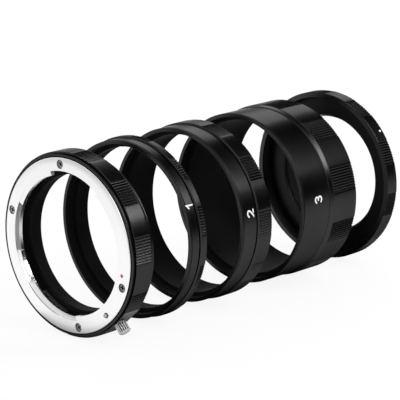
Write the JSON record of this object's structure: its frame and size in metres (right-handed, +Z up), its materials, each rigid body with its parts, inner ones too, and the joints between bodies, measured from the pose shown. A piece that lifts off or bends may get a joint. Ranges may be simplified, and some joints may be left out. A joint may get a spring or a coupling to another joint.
{
  "type": "macro extension tube",
  "caption": "Macro extension tube set for a bayonet camera mount: black ribbed screw-together rings with numbered tubes, a bright lens flange with a release knob, and a bright camera bayonet.",
  "frame": {"origin": "on the floor under the middle of the row of rings", "axes": "+X along the shared optical axis from the lens side to the camera side, +Z up; the picture is taken from the -X, -Y side"},
  "size_m": [0.1406, 0.062, 0.062],
  "materials": {
    "black_body": "black anodised, satin",
    "bright_mount": "bright, finely turned",
    "dark_screws": "blackened steel",
    "spring_steel": "plain spring steel",
    "silver_knob": "bright, knurled",
    "red_mark": "red paint fill",
    "white_mark": "white paint fill"
  },
  "bodies": {
    "camera_side": {"camera_ring": "black_body", "camera_bayonet": "bright_mount", "camera_bayonet_screw_1": "dark_screws", "camera_bayonet_screw_2": "dark_screws", "camera_bayonet_screw_3": "dark_screws", "camera_bayonet_screw_4": "dark_screws", "camera_index_dot": "white_mark"},
    "third_tube": {"tube_3": "black_body"},
    "second_tube": {"tube_2": "black_body"},
    "first_tube": {"tube_1": "black_body"},
    "lens_side": {"lens_ring": "black_body", "lens_flange": "bright_mount", "lens_flange_screw_1": "dark_screws", "lens_flange_screw_2": "dark_screws", "lens_flange_screw_3": "dark_screws", "lens_flange_screw_4": "dark_screws", "bayonet_spring_1": "spring_steel", "bayonet_spring_2": "spring_steel", "bayonet_spring_3": "spring_steel", "release_spring": "spring_steel", "lens_index_dot": "red_mark"},
    "release": {"release_knob": "silver_knob", "release_slider": "dark_screws", "lock_pin": "silver_knob"}
  },
  "joints": [
    {"name": "third_tube_screws_on", "type": "slide", "parent": "camera_side", "child": "third_tube", "axis": [1, 0, 0], "range_m": [0, 0.0177]},
    {"name": "second_tube_screws_on", "type": "slide", "parent": "third_tube", "child": "second_tube", "axis": [1, 0, 0], "range_m": [0, 0.0169]},
    {"name": "first_tube_screws_on", "type": "slide", "parent": "second_tube", "child": "first_tube", "axis": [1, 0, 0], "range_m": [0, 0.018]},
    {"name": "lens_side_screws_on", "type": "slide", "parent": "first_tube", "child": "lens_side", "axis": [1, 0, 0], "range_m": [0, 0.0185]},
    {"name": "release_slides", "type": "slide", "parent": "lens_side", "child": "release", "axis": [1, 0, 0], "range_m": [0, 0.0016], "stiffness_N_per_m": 300, "springref_m": -0.002, "deforming": ["release_spring"]}
  ]
}
